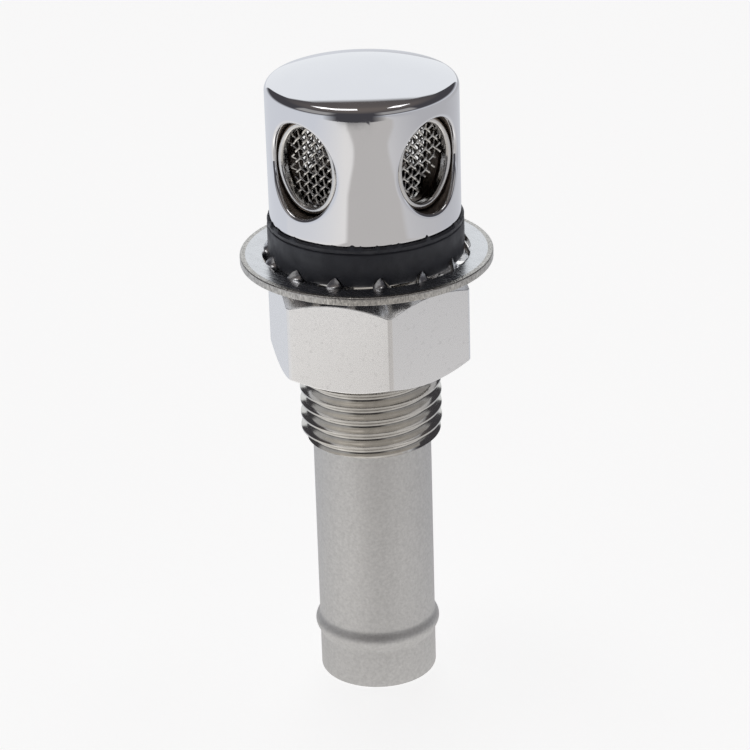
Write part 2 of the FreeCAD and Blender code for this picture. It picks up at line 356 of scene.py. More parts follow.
def washer_steel():
    """Stamped stainless sheet: semi-bright rolled face with short stray scratches."""
    material, tree, shader, place = start_steel("stamped stainless sheet")
    tint = colours().washer
    tint_with(tree, shader, noise(tree, place, 2.2 * MM, 4), shade_of(tint, 0.82), tint)
    lines = noise(tree, stretched(tree, place, (0.12, 1.0, 1.0)), 0.3 * MM, 5)
    roughen(tree, shader, lines, 0.16, 0.34)
    bump(tree, shader, lines, 0.012 * MM)
    return material


def sheared_steel():
    """Stainless sheared through its thickness: upright tearing marks between burnished bands."""
    material, tree, shader, place = start_steel("sheared stainless edge")
    tint = colours().sheared
    tears = noise(tree, stretched(tree, place, (1.0, 1.0, 0.45)), 0.25 * MM, 5)
    tint_with(tree, shader, spread(tree, tears, 0.0, 1.0), shade_of(tint, 0.55), shade_of(tint, 1.1))
    roughen(tree, shader, tears, 0.42, 0.22)
    bump(tree, shader, tears, 0.06 * MM)
    return material


def nut_steel():
    """Stainless hexagon bar, tumbled satin: an even soft sheen with faint small scuffs on its flats."""
    material, tree, shader, place = start_steel("satin stainless hexagon bar")
    tint = colours().nut
    scuffs = spread(tree, noise(tree, place, 0.8 * MM, 6, roughness=0.65), 0.0, 1.0, 0.3, 0.42)
    tint_with(tree, shader, scuffs, shade_of(tint, 0.86), tint)
    grain = noise(tree, place, 0.3 * MM, 4)
    roughen(tree, shader, grain, 0.2, 0.3)
    bump(tree, shader, grain, 0.003 * MM)
    return material


def thread_steel():
    """Turned stainless: bright flanks with tool marks that run round the axis."""
    material, tree, shader, place = start_steel("turned stainless steel")
    tint = colours().thread
    tint_with(tree, shader, noise(tree, place, 1.5 * MM, 3), shade_of(tint, 0.72), tint)
    # Tool marks of 0.12 mm, drawn coarser than the feed so that they show
    marks = noise(tree, around_axis(tree, place), 0.12 * MM, 2)
    roughen(tree, shader, marks, 0.08, 0.17)
    bump(tree, shader, marks, 0.003 * MM)
    return material


def tube_steel():
    """Stainless tube, bead-blasted: an even warm grey of tiny dimples."""
    # Dimples of 0.22 mm, about twice the size that the glass beads leave
    return marked_steel("bead-blasted stainless tube", colours().tube, patches=(0.45 * MM, 6),
                        shades=(0.74, 1.08), marks=(0.22 * MM, 2), gloss=(0.56, 0.66), relief=0.03 * MM)


def polar(radius, turn, height):
    """Point at a distance from the axis, in a direction and at a height."""
    return Vector((radius * math.cos(turn), radius * math.sin(turn), height))


def direction_of(vert):
    return math.atan2(vert.co.y, vert.co.x)


def start_ring(bm, places):
    """Closed ring of vertices on the given places."""
    ring = bmesh.ops.create_circle(bm, cap_ends=False, segments=len(places), radius=1.0)["verts"]
    for vert, place in zip(ring, places):
        vert.co = place
    return ring


def grow(bm, ring, places, material=0):
    """Extrudes a closed ring of vertices to new places, in one material or one for each edge."""
    edges = [bm.edges.get(pair) for pair in zip(ring, ring[1:] + ring[:1])]
    made = bmesh.ops.extrude_edge_only(bm, edges=edges)["geom"]
    faces = {item for item in made if isinstance(item, bmesh.types.BMFace)}
    slots = material if isinstance(material, list) else [material] * len(ring)
    for edge, slot in zip(edges, slots):
        for face in faces.intersection(edge.link_faces):
            face.material_index = slot
    fresh = {item for item in made if isinstance(item, bmesh.types.BMVert)}
    grown = [next(edge.other_vert(vert) for edge in vert.link_edges if edge.other_vert(vert) in fresh)
             for vert in ring]
    for vert, place in zip(grown, places):
        vert.co = place
    return grown


def grow_rows(bm, rows):
    """Skin through rows of places, from the first one on."""
    ring = start_ring(bm, rows[0])
    for places in rows[1:]:
        ring = grow(bm, ring, places)


def grow_round(bm, ring, outline, material=0):
    """Extrudes a ring about the axis through (radius, height) points, keeping each vertex's direction."""
    for radius, height in outline:
        ring = grow(bm, ring, [polar(radius, direction_of(vert), height) for vert in ring], material)
    return ring


def close_pole(bm, ring, height, material=0):
    """Draws a ring together to one point on the axis."""
    tip = grow(bm, ring, [Vector((0, 0, height))] * len(ring), material)
    bmesh.ops.pointmerge(bm, verts=tip, merge_co=Vector((0, 0, height)))


def ring_at(bm, radius, height):
    """Vertices at a distance from the axis and a height, in order round the axis."""
    found = [vert for vert in bm.verts
             if abs(vert.co.z - height) < NEAR and abs(math.hypot(vert.co.x, vert.co.y) - radius) < NEAR]
    return sorted(found, key=direction_of)


def open_ring(bm, height):
    """Open rim of a mesh at a height, in order round the axis."""
    rim = {vert for edge in bm.edges if edge.is_boundary for vert in edge.verts
           if abs(vert.co.z - height) < NEAR}
    return sorted(rim, key=direction_of)


def bend(centre, radius, start, end, count):
    """(radius, height) points on a round bend, between two angles in degrees."""
    turns = [math.radians(start + (end - start) * number / count) for number in range(count + 1)]
    return [(centre[0] + radius * math.cos(turn), centre[1] + radius * math.sin(turn)) for turn in turns]


def lathe(bm, outline, steps):
    """Closed solid of revolution from a closed outline of (radius, height) points."""
    verts = [bm.verts.new((radius, 0, height)) for radius, height in outline]
    edges = [bm.edges.new(pair) for pair in zip(verts, verts[1:] + verts[:1])]
    bmesh.ops.spin(bm, geom=verts + edges, cent=(0, 0, 0), axis=(0, 0, 1), angle=math.tau, steps=steps,
                   use_merge=True)


def soften(bm, width, angle):
    """Rounds every edge that turns by more than an angle."""
    bm.normal_update()
    edges = [edge for edge in bm.edges if edge.is_manifold and edge.calc_face_angle() > angle]
    bmesh.ops.bevel(bm, geom=edges, offset=width, offset_type="OFFSET", affect="EDGES", segments=2,
                    profile=0.5, material=-1, clamp_overlap=True)


def weld(bm):
    """Merges seams and turns the faces outwards."""
    bmesh.ops.remove_doubles(bm, verts=bm.verts, dist=WELD)
    bmesh.ops.recalc_face_normals(bm, faces=bm.faces)


def put_in_scene(name, data):
    """New object in the scene."""
    thing = bpy.data.objects.new(name, data)
    bpy.context.scene.collection.objects.link(thing)
    return thing


def mesh_object(bm, name, materials):
    """Object made of a finished bmesh."""
    mesh = bpy.data.meshes.new(name)
    bm.to_mesh(mesh)
    bm.free()
    for material in materials:
        mesh.materials.append(material)
    return put_in_scene(name, mesh)


def finish_piece(bm, name, materials, body, node, flat_sided=False):
    """Turns a finished bmesh into a piece that rides on a body and stands for a node."""
    weld(bm)
    for face in bm.faces:
        face.smooth = True
    for edge in bm.edges:
        edge.smooth = not (edge.is_manifold and edge.calc_face_angle() > SHARP)
    piece = mesh_object(bm, name, materials)
    if flat_sided:
        piece.modifiers.new("weighted normals", "WEIGHTED_NORMAL").keep_sharp = True
    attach(piece, body)
    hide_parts(node)


class Oval:
    """Window outline of four tangent arcs, seen along the window's own axis."""

    end_share = 0.88

    def __init__(self):
        size = sizes()
        self.side = size.pocket_half_width
        self.small = self.side * self.end_share
        self.rise = size.pocket_half_height - self.small
        self.large = (self.rise ** 2 + self.side ** 2 - self.small ** 2) / (2 * (self.side - self.small))
        self.set_back = self.large - self.side
        turn = math.atan2(self.rise, self.set_back)
        self.join = math.atan2(self.large * math.sin(turn), self.large * math.cos(turn) - self.set_back)
        self.height = low_of("vent_head") + size.window_foot + size.pocket_half_height

    def at(self, angle, inset=0.0):
        """Point (across, up) in a direction from the middle, moved in by an inset, and the outward normal."""
        across = abs(math.cos(angle))
        up = abs(math.sin(angle))
        if math.atan2(up, across) < self.join:
            distance = math.sqrt(self.large ** 2 - (self.set_back * up) ** 2) - self.set_back * across
            normal = (Vector((across, up)) * distance + Vector((self.set_back, 0))) / self.large
        else:
            distance = math.sqrt(self.small ** 2 - (self.rise * across) ** 2) + self.rise * up
            normal = (Vector((across, up)) * distance - Vector((0, self.rise))) / self.small
        spot = Vector((across, up)) * distance - normal * inset
        sign = Vector((math.copysign(1, math.cos(angle)), math.copysign(1, math.sin(angle))))
        return spot * sign, normal * sign

    def place(self, out, spot):
        """Point in space, for a window that faces +X, at a distance out from the axis."""
        return Vector((out, spot[0], self.height + spot[1]))

    def on_wall(self, radius, spot):
        """Point on a cylinder, from its arc length across and its height."""
        return polar(radius, spot[0] / radius, self.height + spot[1])


def frame_points(half_width, low, high):
    """Points round a rectangle, from its lower left corner."""
    across = 36
    up = 30
    corners = [(-half_width, low), (half_width, low), (half_width, high), (-half_width, high)]
    points = []
    for start, end, count in zip(corners, corners[1:] + corners[:1], (across, up, across, up)):
        for number in range(count):
            share = number / count
            points.append(Vector(start).lerp(Vector(end), share))
    return points


def head_quarter(bm, oval, wall_low, wall_high, roof_low):
    """A quarter of the head round one window: wall, rolled rim, pocket, shelf, port and chamber wall."""
    size = sizes()
    radius = reach_of("vent_head")
    roll = size.rim_roll
    border = frame_points(radius * math.pi / 4, wall_low - oval.height, wall_high - oval.height)
    turns = [math.atan2(spot.y, spot.x) for spot in border]
    edges = [oval.at(turn) for turn in turns]
    centres = []
    for spot, normal in edges:
        middle = spot + normal * roll
        centres.append(oval.place(math.sqrt((radius - roll) ** 2 - middle.x ** 2), middle))
    rims = [Vector((radius * math.atan2(c.y, c.x), c.z - oval.height)) for c in centres]
    ring = start_ring(bm, [oval.on_wall(radius, spot) for spot in border])
    wall_steps = 14
    for step in range(1, wall_steps + 1):
        share = (step / wall_steps) ** 0.8
        ring = grow(bm, ring, [oval.on_wall(radius, a.lerp(b, share)) for a, b in zip(border, rims)])
    roll_steps = 7
    for step in range(1, roll_steps + 1):
        places = []
        for centre, (_, normal) in zip(centres, edges):
            outward = Vector((centre.x, centre.y, 0)).normalized()
            inward = Vector((0, -normal.x, -normal.y))
            places.append(centre + outward.slerp(inward, step / roll_steps) * roll)
        ring = grow(bm, ring, places)
    for share in (0.35, 0.7, 1.0):
        ring = grow(bm, ring, [oval.place(c.x + (size.pocket_floor - c.x) * share, spot)
                               for c, (spot, _) in zip(centres, edges)], 1)
    port = [oval.at(turn, size.port_shelf)[0] for turn in turns]
    ring = grow(bm, ring, [oval.place(size.pocket_floor, spot) for spot in port], 1)
    inner = size.cavity_radius
    ring = grow(bm, ring, [oval.place(math.sqrt(inner ** 2 - spot.x ** 2), spot) for spot in port], 1)
    low = low_of("vent_head") - oval.height
    chamber = frame_points(inner * math.pi / 4, low, roof_low - oval.height)
    lips = [Vector((inner * math.asin(spot.x / inner), spot.y)) for spot in port]
    for share in (0.3, 0.65, 1.0):
        ring = grow(bm, ring, [oval.on_wall(inner, a.lerp(b, share)) for a, b in zip(lips, chamber)], 2)


def head_mesh():
    """Domed head: four window quarters, then shoulder and dome above, foot and chamber roof."""
    size = sizes()
    bm = bmesh.new()
    oval = Oval()
    radius = reach_of("vent_head")
    seat = low_of("vent_head")
    top = high_of("vent_head")
    edge = size.shoulder_radius
    dome_centre = top - size.dome_radius
    reach = size.dome_radius - edge
    wall_high = dome_centre + math.sqrt(reach ** 2 - (radius - edge) ** 2)
    slope = math.degrees(math.asin((radius - edge) / reach))
    wall_low = seat + size.foot_round
    roof = top - size.head_roof
    roof_low = roof - size.cavity_chamfer
    head_quarter(bm, oval, wall_low, wall_high, roof_low)
    bmesh.ops.spin(bm, geom=bm.verts[:] + bm.edges[:] + bm.faces[:], cent=(0, 0, 0), axis=(0, 0, 1),
                   angle=math.radians(270), steps=3, use_duplicate=True)
    bmesh.ops.remove_doubles(bm, verts=bm.verts, dist=NEAR)
    shoulder_steps = 9
    dome_steps = 24
    dome_end = 89.6
    foot_steps = 4
    crown = ring_at(bm, radius, wall_high)
    shoulder = bend((radius - edge, wall_high), edge, 0, 90 - slope, shoulder_steps)
    crown = grow_round(bm, crown, shoulder[1:])
    dome = bend((0, dome_centre), size.dome_radius, 90 - slope, dome_end, dome_steps)
    crown = grow_round(bm, crown, dome[1:])
    close_pole(bm, crown, top)
    rounding = bend((radius - size.foot_round, wall_low), size.foot_round, 0, -90, foot_steps)
    foot = grow_round(bm, ring_at(bm, radius, wall_low), rounding[1:])
    grow_round(bm, foot, [(size.cavity_radius, seat)], 1)
    pole_radius = 0.4 * MM
    ceiling = ring_at(bm, size.cavity_radius, roof_low)
    ceiling = grow_round(bm, ceiling, [(size.cavity_radius - size.cavity_chamfer, roof),
                                       (pole_radius, roof)], 2)
    close_pole(bm, ceiling, roof, 2)
    return bm


def turn_round(bm, quarter_turns):
    """Turns a mesh round the axis by quarter turns."""
    bmesh.ops.rotate(bm, verts=bm.verts, cent=(0, 0, 0),
                     matrix=Matrix.Rotation(math.pi / 2 * quarter_turns, 3, "Z"))


def ring_mesh(number):
    """Screen ring: a thin oval wall with a rounded front lip."""
    size = sizes()
    bm = bmesh.new()
    oval = Oval()
    gap = size.ring_gap
    inner = gap + size.ring_wall
    lip = size.ring_lip
    bends = [math.radians(turn) for turn in (0, 22, 45, 68, 90)]
    steps = 112
    back = size.pocket_floor + 2 * size.wire_diameter
    front = reach_of("screen_ring_1") - size.ring_depth
    section = [(gap, back)]
    section += [(gap + lip - lip * math.cos(turn), front - lip + lip * math.sin(turn)) for turn in bends]
    section += [(inner - lip + lip * math.sin(turn), front - lip + lip * math.cos(turn)) for turn in bends]
    section += [(inner, (front + back) / 2), (inner, back)]
    turns = [math.tau * step / steps for step in range(steps)]

    def places(corner):
        return [oval.place(corner[1], oval.at(turn, corner[0])[0]) for turn in turns]

    grow_rows(bm, [places(corner) for corner in section + section[:1]])
    turn_round(bm, number - 1)
    return bm


def reach_along(oval, start, way, inset):
    """How far a straight wire runs from a start point before it comes to the oval's inset outline."""
    near = 0.0
    far = 2 * oval.large
    for _ in range(30):
        middle = (near + far) / 2
        spot = start + way * middle
        edge = oval.at(math.atan2(spot.y, spot.x), inset)[0]
        if spot.length < edge.length:
            near = middle
        else:
            far = middle
    return near


def add_wire(bm, oval, start, way, first, last, phase, curl):
    """One wire of the cloth, waved over and under the wires that it crosses."""
    size = sizes()
    radius = size.wire_diameter / 2
    across = Vector((-way.y, way.x))
    middle = size.pocket_floor + 2 * radius
    steps_per_pitch = 4
    side_count = 6
    count = max(2, int((last - first) / (size.wire_pitch / steps_per_pitch)))
    sides = [math.tau * side / side_count for side in range(side_count)]
    ring = None
    for number in range(count + 1):
        along = first + (last - first) * number / count
        lift = radius * math.cos(math.pi * along / size.wire_pitch + phase)
        if number >= count - 2:
            lift += curl * (number - count + 3) / 3
        spot = start + way * along
        places = [oval.place(middle + lift + radius * math.cos(side), spot + across * radius * math.sin(side))
                  for side in sides]
        if ring is None:
            ring = start_ring(bm, places)
            bm.faces.new(ring)
        else:
            ring = grow(bm, ring, places)
    bm.faces.new(ring)


def screen_mesh(number):
    """Woven wire screen with cut ends, frayed on one side where the disc was cut short."""
    size = sizes()
    chance = random.Random(40 + number)
    # Side in degrees on which the disc was cut short, and how far it reaches there in millimetres
    side, kept = {1: (-50, 2.9), 2: (120, 4.7), 3: (-60, 4.7), 4: (180, 4.0)}[number]
    short = Vector((math.cos(math.radians(side)), math.sin(math.radians(side))))
    bm = bmesh.new()
    oval = Oval()
    inset = 0.15 * MM
    for family, angle in enumerate((45, -45)):
        way = Vector((math.cos(math.radians(angle)), math.sin(math.radians(angle))))
        across = Vector((-way.y, way.x))
        for row in range(-5, 6):
            start = across * (row * size.wire_pitch)
            last = reach_along(oval, start, way, inset)
            first = -reach_along(oval, start, -way, inset)
            along = 1 if way.dot(short) > 0 else -1
            if along < 0:
                first, last = -last, -first
            run = way * along
            cut = (kept * MM - start.dot(short)) / run.dot(short)
            cut += chance.uniform(-0.3, 0.5) * MM * (1 + family)
            curl = chance.uniform(-0.25, 0.55) * MM if cut < last else 0.0
            last = min(last, cut)
            phase = math.pi * (row + family)
            if last - first > size.wire_pitch:
                add_wire(bm, oval, start, run, first, last, phase, curl)
    turn_round(bm, number - 1)
    return bm


def bite_height(offset):
    """How far a tooth lifts the rubber above the gasket's underside, across the tooth."""
    size = sizes()
    twist = size.tooth_twist
    half = (size.tooth_width + size.tooth_tip_width) / 4
    lean = size.washer_thickness / 2
    gap = 0.09 * MM
    middle = size.washer_drop - lean
    crest = middle + half * math.sin(twist) + lean * math.cos(twist) + gap
    low = middle - half * math.sin(twist) + lean * math.cos(twist) + 2 * gap
    side = half * math.cos(twist) + lean * math.sin(twist) + gap
    crest_end = -half * math.cos(twist) + lean * math.sin(twist) + gap
    if abs(offset) > side:
        return 0.0
    if offset < crest_end:
        shoulder = middle + half * math.sin(twist) - lean * math.cos(twist) + gap
        return shoulder + (crest - shoulder) * (offset + side) / (crest_end + side)
    return max(0.0, crest + (low - crest) * (offset - crest_end) / (side - crest_end))


def gasket_mesh():
    """Gasket with a thin lip, ragged moulding flash and the marks of the washer's teeth."""
    size = sizes()
    bm = bmesh.new()
    chance = random.Random(7)
    outer = reach_of("gasket")
    inner = size.gasket_bore
    top = high_of("gasket")
    bottom = low_of("gasket")
    lip = top - size.gasket_lip
    steps_per_tooth = 24
    sag = 0.6
    count = size.tooth_count * steps_per_tooth
    turns = [math.tau * step / count for step in range(count)]
    rough = [chance.uniform(0, 1) for _ in turns]
    rough = [(rough[at - 1] + rough[at] + rough[(at + 1) % count]) / 3 for at in range(count)]
    spacing = math.tau / size.tooth_count
    lifts = []
    for turn in turns:
        off = (turn - size.tooth_start + spacing / 2) % spacing - spacing / 2
        lifts.append(bite_height(off * outer))

    def places(radius, height, ragged=0.0, lifted=False, flash=0.0):
        """One row round the gasket. Its raggedness and its flash are in millimetres."""
        row = []
        for at, turn in enumerate(turns):
            lift = lifts[at] if lifted else 0.0
            rise = (flash * rough[at] ** 3 - ragged * sag * rough[-at]) * MM
            row.append(polar(radius - ragged * rough[at] * MM, turn, height + lift + rise))
        return row

    fine = 0.07 * MM
    grow_rows(bm, (
        places(inner, top),
        places(outer - 0.38 * MM, top),
        places(outer - 0.34 * MM, top, 0.0, False, 0.8),
        places(outer - 0.16 * MM, top - 0.04 * MM, 0.1, False, 0.8),
        places(outer, top - 0.2 * MM, 0.05),
        places(outer, lip + fine, 0.1),
        places(outer - 0.02 * MM, lip, 0.22),
        places(outer - 0.2 * MM, lip - fine, 0.08),
        places(outer - 0.2 * MM, lip - 2 * fine),
        places(outer - 0.05 * MM, lip - 4 * fine),
        places(outer, lip - 7 * fine),
        places(outer, bottom + 2.6 * MM),
        places(outer, bottom + 1.9 * MM),
        places(outer, bottom + 0.35 * MM, 0.0, True),
        places(outer - 0.06 * MM, bottom + 0.14 * MM, 0.04, True),
        places(outer - 0.2 * MM, bottom + 0.03 * MM, 0.0, True),
        places(outer - 0.4 * MM, bottom, 0.0, True),
        places(inner, bottom, 0.0, True),
        places(inner, top),
    ))
    return bm


def tooth_places(edge, centre_turn, radius, twist, width_share, middle_z):
    """Corners of a tooth's section: the flat strip's own corners, narrowed and turned about its length."""
    along = polar(radius, centre_turn, 0)
    tangent = Vector((-math.sin(centre_turn), math.cos(centre_turn), 0))
    places = []
    for across, rise in edge:
        narrowed = across * width_share
        side = narrowed * math.cos(twist) + rise * math.sin(twist)
        lift = rise * math.cos(twist) - narrowed * math.sin(twist)
        places.append(along + tangent * side + Vector((0, 0, middle_z + lift)))
    return places


def washer_mesh():
    """Toothed washer: a stamped rim, and teeth drawn out of its inner edge and wrung."""
    size = sizes()
    bm = bmesh.new()
    per_tooth = 24
    tooth_span = 13
    count = size.tooth_count * per_tooth
    step = math.tau / count
    turns = [size.tooth_start + (at + 0.5) * step for at in range(count)]
    thick = size.washer_thickness
    top = low_of("gasket") + size.washer_drop
    low = top - thick
    middle = (top + low) / 2
    outer = reach_of("lock_washer")
    root = size.tooth_root
    levels = [low, low + thick / 3, top - thick / 3, top]

    def places(radius, height):
        return [polar(radius, turn, height) for turn in turns]

    roll = 0.22 * MM
    burr = 0.08 * MM
    rim = [(root + 0.3 * MM, top, 0), (outer - 0.8 * MM, top, 0)]
    rim += [(*corner, 1) for corner in bend((outer - roll, top - roll), roll, 90, 0, 5)]
    rim += [(outer, middle, 1), (outer, low + burr, 1), (outer - burr, low, 1)]
    rim += [(outer - 0.8 * MM, low, 0), (root + 0.3 * MM, low, 0)]
    wall = [start_ring(bm, places(root, top))]
    ring = wall[0]
    for radius, height, material in rim:
        ring = grow(bm, ring, places(radius, height), material)
    rows = []
    for height in levels:
        ring = grow(bm, ring, places(root, height), 1)
        rows.append(ring)
    for number in range(size.tooth_count):
        centre_turn = size.tooth_start + number * math.tau / size.tooth_count
        first = number * per_tooth - (tooth_span + 1) // 2
        columns = [(first + at) % count for at in range(tooth_span + 1)]
        inside = [row[at] for row in rows[1:-1] for at in columns[1:-1]]
        bmesh.ops.delete(bm, geom=inside, context="VERTS")
        edge_ring = [rows[0][at] for at in columns]
        edge_ring += [row[columns[-1]] for row in rows[1:-1]]
        edge_ring += [rows[-1][at] for at in reversed(columns)]
        edge_ring += [row[columns[0]] for row in reversed(rows[1:-1])]
        tangent = Vector((-math.sin(centre_turn), math.cos(centre_turn), 0))
        edge = [(v.co.dot(tangent), v.co.z - middle) for v in edge_ring]
        skin = ([0] * tooth_span + [1] * (len(levels) - 1)) * 2
        shares = [(0.12, 0.06), (0.35, 0.28), (0.65, 0.66), (1.0, 1.0)]
        neck = 0.9 * MM
        ring = edge_ring
        for out, wrung in shares:
            ring = grow(bm, ring, tooth_places(edge, centre_turn, root - neck * out, size.tooth_twist * wrung,
                                               1.0, middle), skin)
        narrow = size.tooth_tip_width / size.tooth_width
        for share in (0.35, 0.7, 1.0):
            radius = root - neck + (size.tooth_tip - root + neck) * share
            ring = grow(bm, ring, tooth_places(edge, centre_turn, radius, size.tooth_twist,
                                               1.0 + (narrow - 1.0) * share, middle), skin)
        bm.faces.new(ring)
    weld(bm)
    soften(bm, 0.05 * MM, math.radians(55))
    return bm


def nut_outline():
    """(direction, distance) points round a hexagon whose corners are ground to narrow strips."""
    size = sizes()
    flat = size.nut_half_flats
    strip = size.nut_corner_strip / 2
    away = flat / math.cos(math.pi / 6) - strip / math.tan(math.pi / 3)
    turn = math.atan2(strip, away)
    edge = math.pi / 6 - turn
    points = []
    for side in range(6):
        middle = size.nut_start + math.radians(30 + 60 * side)
        for share in (-1.0, -0.86, -0.7, -0.5, -0.25, 0.0, 0.25, 0.5, 0.7, 0.86, 1.0):
            points.append((middle + edge * share, flat / math.cos(edge * share)))
        points.append((middle + math.pi / 6, away))
    return points


def nut_mesh():
    """Tall hexagon nut, coned at both ends, with a chamfer at the lower mouth of its bore."""
    size = sizes()
    bm = bmesh.new()
    top = high_of("hex_nut")
    bottom = low_of("hex_nut") - size.nut_reach
    cone = math.tan(math.radians(30))
    clearance = 0.05 * MM
    bore = reach_of("threaded_shank") + clearance
    points = nut_outline()

    def circle(radius, height):
        return [polar(radius, turn, height) for turn, _ in points]

    def crown(circle_radius, height, way):
        return [polar(distance, turn, height - way * max(0.0, distance - circle_radius) * cone)
                for turn, distance in points]

    grow_rows(bm, (
        circle(bore, top),
        circle(size.nut_top_circle, top),
        crown(size.nut_top_circle, top, 1),
        crown(size.nut_bottom_circle, bottom, -1),
        circle(size.nut_bottom_circle, bottom),
        circle(bore + size.nut_mouth, bottom),
        circle(bore, bottom + size.nut_mouth),
        circle(bore, top),
    ))
    weld(bm)
    soften(bm, 0.1 * MM, math.radians(24))
    return bm


def thread_profile(low, high):
    """(radius, height) chain up the thread, one V for each turn with a flat crest and a rounded root."""
    size = sizes()
    crest = reach_of("threaded_shank")
    root = crest - size.thread_depth
    shape = [(0.0, 1.0), (0.125, 1.0), (0.15, 0.95), (0.3, 0.51), (0.45, 0.07), (0.5, 0.0), (0.625, 0.0),
             (0.675, 0.07), (0.825, 0.51), (0.975, 0.95)]
    chain = []
    turns = int((high - low) / size.thread_pitch) + 3
    for number in range(turns):
        for along, out in shape:
            chain.append((root + (crest - root) * out, low + (number - 1 + along) * size.thread_pitch))
    return chain


def cut_level(bm, height, keep_above):
    """Cuts off what lies below a level, or what lies above it."""
    bmesh.ops.bisect_plane(bm, geom=bm.verts[:] + bm.edges[:] + bm.faces[:], plane_co=(0, 0, height),
                           plane_no=(0, 0, 1), clear_outer=not keep_above, clear_inner=keep_above, dist=WELD)


def shank_mesh():
    """Threaded shank: a cut thread on a hollow body, with its spigot above and the tube's socket below."""
    size = sizes()
    bm = bmesh.new()
    low = low_of("threaded_shank")
    seat = low_of("vent_head")
    top = high_of("threaded_shank")
    crest = reach_of("threaded_shank")
    root = crest - size.thread_depth
    chain = [bm.verts.new((radius, 0, height)) for radius, height in thread_profile(low, seat)]
    edges = [bm.edges.new(pair) for pair in zip(chain, chain[1:])]
    steps = 112
    bmesh.ops.spin(bm, geom=chain + edges, cent=(0, 0, 0), axis=(0, 0, 1), angle=math.tau, steps=steps,
                   dvec=(0, 0, size.thread_pitch / steps))
    seam = 0.005 * MM
    bmesh.ops.remove_doubles(bm, verts=bm.verts, dist=seam)
    cut_level(bm, low, True)
    cut_level(bm, seat, False)
    neck = seat - size.neck_length
    for vert in bm.verts:
        limit = root + min(max(0.0, vert.co.z - low + size.thread_start), max(0.0, neck - vert.co.z))
        radius = math.hypot(vert.co.x, vert.co.y)
        if radius > limit:
            vert.co.x *= limit / radius
            vert.co.y *= limit / radius
    low_end = open_ring(bm, low)
    high_end = open_ring(bm, seat)
    socket_top = low + size.socket_depth
    lower = grow_round(bm, low_end, [(size.socket_radius, low), (size.socket_radius, socket_top),
                                     (size.passage_radius, socket_top)])
    upper = grow_round(bm, high_end, [(size.spigot_radius, seat), (size.spigot_radius, top),
                                      (size.passage_radius, top)])
    inside = []
    for ring in (lower, upper):
        inside += [bm.edges.get(pair) for pair in zip(ring, ring[1:] + ring[:1])]
    bmesh.ops.bridge_loops(bm, edges=inside)
    return bm


def tube_mesh():
    """Hose tube: a thin wall with a softly rolled bead near its rounded open end."""
    size = sizes()
    bm = bmesh.new()
    outer = size.tube_radius
    bore = size.passage_radius
    spigot = size.tube_spigot_radius
    rise = reach_of("hose_tube") - outer
    shoulder = low_of("threaded_shank")
    top = high_of("hose_tube")
    end_round = 0.35 * MM
    end_steps = 4
    mouth = 0.15 * MM
    chamfer = 0.1 * MM
    lead = 0.3 * MM
    outline = [(bore, top), (bore, mouth), (bore + mouth, 0.0)]
    outline += bend((outer - end_round, end_round), end_round, -90, 0, end_steps)
    outline.append((outer, size.bead_height - size.bead_half_length - lead))
    steps = 20
    for number in range(steps + 1):
        share = 2 * number / steps - 1
        swell = (0.5 + 0.5 * math.cos(math.pi * share)) ** 0.85
        outline.append((outer + rise * swell, size.bead_height + share * size.bead_half_length))
    outline.append((outer, size.bead_height + size.bead_half_length + lead))
    outline += [(outer, shoulder - chamfer), (outer - chamfer, shoulder), (spigot, shoulder), (spigot, top)]
    lathe(bm, outline, steps=128)
    return bm


class VentOperator:
    """What every operator of the vent shares."""

    bl_options = {"REGISTER", "UNDO"}


class VENT_OT_head(VentOperator, bpy.types.Operator):
    """Domed head with four windows, mirror-polished outside and bored inside"""

    bl_idname = "vent.head"
    bl_label = "Domed head"

    def execute(self, context):
        finish_piece(head_mesh(), "domed_head", [polished_steel(), bored_steel(), shaded_chamber_steel()],
                     "vent_body", "vent_head", flat_sided=True)
        return {"FINISHED"}


class VENT_OT_rings(VentOperator, bpy.types.Operator):
    """Pressed screen rings, one in each window"""

    bl_idname = "vent.rings"
    bl_label = "Screen rings"

    def execute(self, context):
        steel = ring_steel()
        for number in range(1, 5):
            finish_piece(ring_mesh(number), f"window_ring_{number}", [steel],
                         "vent_body", f"screen_ring_{number}")
        return {"FINISHED"}


class VENT_OT_screens(VentOperator, bpy.types.Operator):
    """Woven wire screens, one behind each ring"""

    bl_idname = "vent.screens"
    bl_label = "Wire screens"

    def execute(self, context):
        steel = wire_steel()
        for number in range(1, 5):
            finish_piece(screen_mesh(number), f"woven_screen_{number}", [steel],
                         "vent_body", f"mesh_screen_{number}")
        return {"FINISHED"}


class VENT_OT_gasket(VentOperator, bpy.types.Operator):
    """Rubber gasket under the head"""

    bl_idname = "vent.gasket"
    bl_label = "Gasket"

    def execute(self, context):
        finish_piece(gasket_mesh(), "rubber_gasket", [gasket_rubber()],
                     "vent_body", "gasket")
        return {"FINISHED"}


class VENT_OT_washer(VentOperator, bpy.types.Operator):
    """Washer with wrung internal teeth"""

    bl_idname = "vent.washer"
    bl_label = "Toothed washer"

    def execute(self, context):
        finish_piece(washer_mesh(), "toothed_washer", [washer_steel(), sheared_steel()],
                     "washer", "lock_washer", flat_sided=True)
        return {"FINISHED"}


class VENT_OT_nut(VentOperator, bpy.types.Operator):
    """Tall hexagon nut"""

    bl_idname = "vent.nut"
    bl_label = "Nut"

    def execute(self, context):
        finish_piece(nut_mesh(), "hexagon_nut", [nut_steel()],
                     "nut", "hex_nut", flat_sided=True)
        return {"FINISHED"}


class VENT_OT_shank(VentOperator, bpy.types.Operator):
    """Threaded shank under the head"""

    bl_idname = "vent.shank"
    bl_label = "Threaded shank"

    def execute(self, context):
        finish_piece(shank_mesh(), "cut_thread_shank", [thread_steel()],
                     "vent_body", "threaded_shank")
        return {"FINISHED"}


